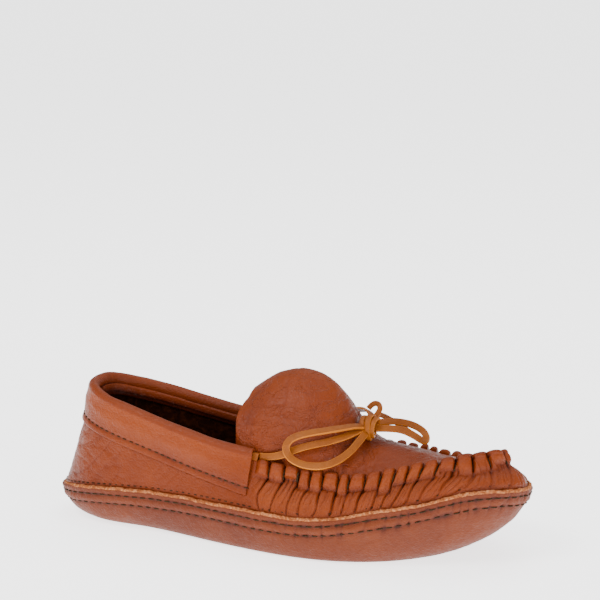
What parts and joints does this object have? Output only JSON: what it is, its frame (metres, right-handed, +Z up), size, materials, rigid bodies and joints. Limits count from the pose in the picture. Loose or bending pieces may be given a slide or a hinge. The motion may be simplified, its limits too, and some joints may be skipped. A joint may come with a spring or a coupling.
{
  "type": "moccasin",
  "caption": "Soft leather moccasin for the right foot, with a gathered toe, rolled collar, tall tongue, tied thong lace and a soft stitched sole.",
  "frame": {"origin": "on the ground, below the middle of the shoe's box without the free lace", "axes": "+X from heel to toe, +Y to the inner (medial) side, +Z up"},
  "size_m": [0.2941, 0.1084, 0.101],
  "materials": {
    "upper_leather": "smooth tanned leather with a soft grain",
    "sole_leather": "matte leather with raw light edges",
    "lace_leather": "golden rawhide thong",
    "liner_leather": "rough flesh side, dark",
    "foam": "soft cushion foam",
    "thread": "waxed dark thread"
  },
  "bodies": {
    "shoe": {"outer_sole": "sole_leather", "wrapper": "upper_leather", "cushion_insole": "foam", "sock_liner": "liner_leather", "collar_cuff": "upper_leather", "plug": "upper_leather", "lace_in_collar": "lace_leather", "bow_knot": "lace_leather", "lace_near_run": "lace_leather", "lace_far_run": "lace_leather", "lace_near_loop": "lace_leather", "lace_far_loop": "lace_leather", "lace_near_tail": "lace_leather", "lace_far_tail": "lace_leather", "sole_thread_upper": "thread", "sole_thread_lower": "thread", "rim_thread": "thread", "gather_thread": "thread", "collar_thread": "thread", "back_seam_thread": "thread"},
    "tongue": {"tongue": "upper_leather"}
  },
  "joints": [
    {"name": "tongue_fold", "type": "hinge", "parent": "shoe", "child": "tongue", "pos_m": [0.046, 0, 0.046], "axis": [0, 1, 0], "range_deg": [-14, 0], "stiffness_Nm_per_rad": 0.15}
  ]
}
